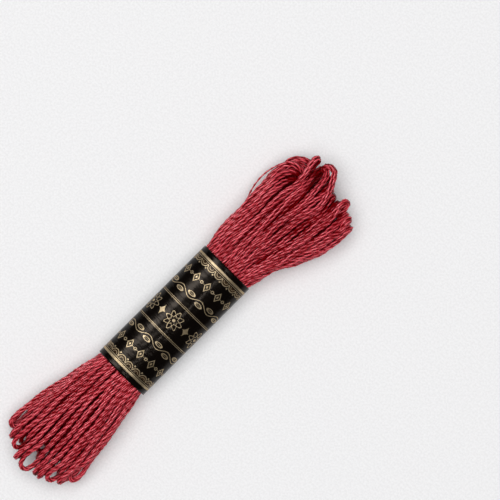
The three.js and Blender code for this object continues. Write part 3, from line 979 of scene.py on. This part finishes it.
def paper_material():
    """Glossy black paper with gold print, alike towards both ends, and slight ribs round the skein. The map
    is in millimetres, and its copy further along is the plain inside."""
    recipe = Recipe("black_paper")
    recipe.shader.inputs["Specular IOR Level"].default_value = 0.15
    recipe.shader.inputs["Specular Tint"].default_value = (1.0, 0.86, 0.74, 1.0)
    across, along, _ = recipe.parts(recipe.place("UV"))
    spot = recipe.place("Object")
    inside = along.ramp(INSIDE_SHIFT / 2 - 0.1, INSIDE_SHIFT / 2 + 0.1)
    plain = 1.0 - inside
    far = abs(along)

    border, filling = border_print(across, far)
    gold = border[0]
    marks = (*border[1:], *lozenge_print(across, far), *vine_print(across, far))
    for mark in (*marks, *rosette_print(across, along, far)):
        gold = gold.high(mark)
    wear = recipe.noise(spot, 2200.0, 3.0).ramp(0.18, 0.42)
    gold = gold * plain * wear

    broad_ribs = recipe.noise(recipe.vector(across * 0.22, along * 1.7, 0.0), 1.0, 1.0)
    fine_ribs = recipe.noise(recipe.vector(across * 0.4, along * 4.2, 4.0), 1.0, 1.0)
    ribs = broad_ribs * 0.64 + fine_ribs * 0.36
    grain = recipe.noise(spot, 5200.0, 2.0)
    black = recipe.mix(recipe.noise(spot, 300.0), *BLACK)
    ground = recipe.mix(filling * plain, black, BROWN)
    colour = recipe.mix(gold, ground, recipe.mix(ribs.ramp(0.3, 0.7), *GOLD))
    recipe.set("Base Color", recipe.mix(inside, colour, PLAIN_PAPER))
    recipe.set("Metallic", gold * 0.8)
    recipe.set("Roughness", (0.17 + grain * 0.06 + gold * 0.22) * plain + inside * 0.8)
    recipe.bump(ribs * 0.93 + grain * 0.03 + gold * 0.04, 0.00026, 0.8)
    return recipe.material


def floor_material():
    """Matt white board with the faintest grain."""
    recipe = Recipe("pale_floor", Roughness=0.9)
    recipe.shader.inputs["Specular IOR Level"].default_value = 0.1
    spot = recipe.place("Object")
    grain = recipe.noise(spot, 2400.0, 3.0).ramp(0.3, 0.7)
    recipe.set("Base Color", recipe.mix(grain, *FLOOR))
    return recipe.material


# ---- the scene
def floss_piece(name, lines, material, size=1.0, height_over=None):
    """A piece of thread that stands for the hank."""
    piece = strand_mesh(name, lines, material, size, height_over)
    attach(piece, "root")
    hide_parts("hank")
    return piece


def make_turns():
    """The skein's turns, in pieces for the top, middle and lowest rows of each end, and the stray
    strands."""
    rng = np.random.default_rng(SEED)
    material = floss_material()
    made = []
    for end, direction, room, routes, top, limits in (
        ("front", 1.0, FRONT_ROOM, FRONT_ROUTES, FRONT_LOOPS, FRONT_UNDER),
        ("rear", -1.0, REAR_ROOM, (), REAR_LOOPS, REAR_UNDER),
    ):
        upper = [route_path(route, room) for route in routes]
        upper += [loop_path(loop, room) for loop in table(LOOP_COLUMNS, top)]
        middle = [loop_path(loop, room) for loop in chance_loops(limits[:-1], room, rng)]
        lowest = [loop_path(loop, room) for loop in chance_loops(limits[-1:], room, rng)]
        paths = settle(np.stack(upper + middle + lowest), room, len(upper))
        paths[:, :, 1] = direction * (paths[:, :, 1] + BAND_LENGTH / 2)
        lines = strand_lines(paths, rng)
        skin = skin_of(lines, direction, room)
        starts = (len(upper), len(upper) + len(middle))
        for row, share in zip(("upper", "middle", "lowest"), np.split(lines, starts)):
            made.append(floss_piece(f"turns_{end}_{row}", share, material, height_over=skin))
    strays = np.stack([spline(np.array(stray), 31) for stray in STRAYS])[:, None]
    strays[..., 1] += BAND_LENGTH / 2
    made.append(floss_piece("stray_strands", strays, material, STRAY_SIZE))
    return made


def light(name, place, long, wide, power):
    """An area light that faces the skein, at place in metres, with its long side along the skein."""
    data = bpy.data.lights.new(name, "AREA")
    data.shape = "RECTANGLE"
    data.size = long
    data.size_y = wide
    data.energy = power
    thing = bpy.data.objects.new(name, data)
    bpy.context.scene.collection.objects.link(thing)
    thing.location = place
    back = np.array(place) / np.linalg.norm(place)
    thing.rotation_euler = (math.acos(back[2]), 0.0, math.atan2(back[1], back[0]) + math.pi / 2)
    return thing


def make_studio():
    """Faint light from all sides, a broad light overhead that the gloss doesn't mirror, and two that only the
    gloss mirrors: a panel on the left and a strip near the middle."""
    light("overhead", place=(-0.08, 0.0, 0.84), long=1.0, wide=1.0, power=8.0).visible_glossy = False
    light("left_panel", place=(-0.31, 0.0, 0.52), long=0.40, wide=0.28, power=2.90).visible_diffuse = False
    light("strip", place=(0.085, 0.0, 0.60), long=0.30, wide=0.030, power=0.60).visible_diffuse = False
    world = bpy.data.worlds.new("studio")
    world.use_nodes = True
    tree = world.node_tree
    ground = tree.nodes["Background"]
    ground.inputs["Color"].default_value = (1.0, 0.99, 1.0, 1.0)
    ray = tree.nodes.new("ShaderNodeLightPath")
    dim = tree.nodes.new("ShaderNodeMapRange")
    dim.inputs["To Min"].default_value = WORLD_LIGHT
    dim.inputs["To Max"].default_value = WORLD_GLOSS
    tree.links.new(ray.outputs["Is Glossy Ray"], dim.inputs["Value"])
    tree.links.new(dim.outputs["Result"], ground.inputs["Strength"])
    bpy.context.scene.world = world
    bpy.context.scene.view_settings.view_transform = "Standard"


def make_camera():
    """A long lens straight above the near fan and most of the band, turned an eighth of a turn."""
    data = bpy.data.cameras.new("camera")
    data.sensor_fit = "HORIZONTAL"
    data.angle = 2 * math.atan(VIEW_WIDTH / 2 / CAMERA_HEIGHT)
    data.clip_start = 0.01
    data.clip_end = 5.0
    thing = bpy.data.objects.new("camera", data)
    bpy.context.scene.collection.objects.link(thing)
    thing.location = (MIDDLE[0] + VIEW_MIDDLE[0], MIDDLE[1] + VIEW_MIDDLE[1], CAMERA_HEIGHT)
    thing.rotation_euler = (0.0, 0.0, math.radians(VIEW_TURN))
    bpy.context.scene.camera = thing


def make_floor():
    """A level square under the skein."""
    points = FLOOR_HALF * np.array([(-1.0, -1.0, 0.0), (1.0, -1.0, 0.0), (1.0, 1.0, 0.0), (-1.0, 1.0, 0.0)])
    floor = mesh_object("floor", points, [np.array([[0, 1, 2, 3]])], points[:, :2], floor_material())
    floor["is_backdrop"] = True


make_camera()
turns = make_turns()
band, wrapped = band_mesh(paper_material())
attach(band, "root")
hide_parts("band")
wrapped * MM
make_floor()
make_studio()

boxes = {"cad": CAD_BOX, "visual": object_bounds()}
boxes = {name: [[float(value) for value in corner] for corner in ends] for name, ends in boxes.items()}
